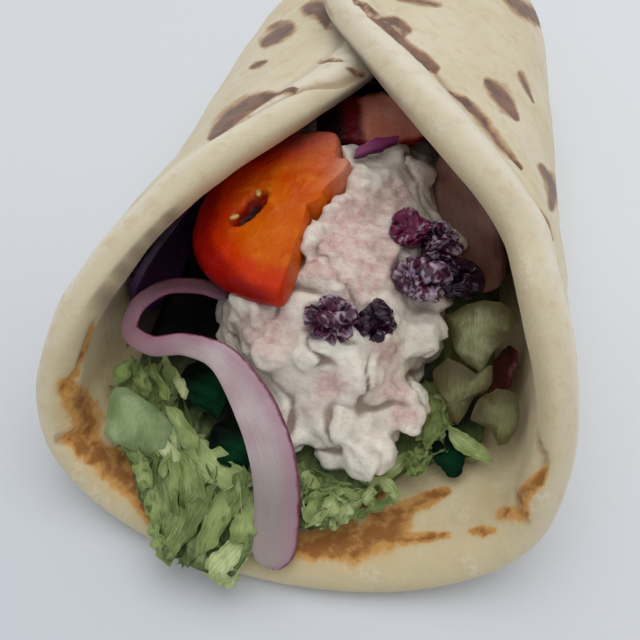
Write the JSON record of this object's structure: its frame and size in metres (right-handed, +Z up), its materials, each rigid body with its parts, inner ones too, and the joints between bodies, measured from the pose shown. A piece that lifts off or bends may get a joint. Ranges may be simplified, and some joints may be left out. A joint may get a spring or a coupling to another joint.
{
  "type": "chicken salad pita",
  "caption": "Soft flatbread folded into an open-mouthed wrap round lettuce, creamy chicken salad, tomato, red onion and dried cranberries.",
  "frame": {"origin": "on the flat underside, under the middle of the round bread", "axes": "+Y from the open mouth to the narrow back end, +X to the right when looking into the mouth, +Z up"},
  "size_m": [0.1182, 0.2571, 0.0709],
  "materials": {
    "flatbread": "soft matte crumb with charred spots",
    "lettuce": "moist leaf",
    "spinach": "moist dark leaf",
    "chicken_salad": "creamy, moist",
    "tomato": "wet flesh and glossy skin",
    "red_onion": "translucent, moist",
    "cranberry": "wrinkled, smeared with dressing"
  },
  "bodies": {
    "root": {"pita": "flatbread", "lettuce": "lettuce", "chicken_salad": "chicken_salad", "tomato_slice": "tomato", "tomato_back": "tomato", "onion_strip": "red_onion", "onion_back": "red_onion", "onion_left": "red_onion", "onion_right": "red_onion", "onion_right_low": "red_onion", "lettuce_leaf_left": "lettuce", "lettuce_leaf_right_upper": "lettuce", "lettuce_leaf_right_lower": "lettuce", "lettuce_leaf_curled": "lettuce", "lettuce_strand": "lettuce", "spinach_left_upper": "spinach", "spinach_left_lower": "spinach", "spinach_right": "spinach", "cranberry_1": "cranberry", "cranberry_2": "cranberry", "cranberry_3": "cranberry", "cranberry_4": "cranberry", "cranberry_5": "cranberry", "cranberry_6": "cranberry"}
  },
  "joints": []
}
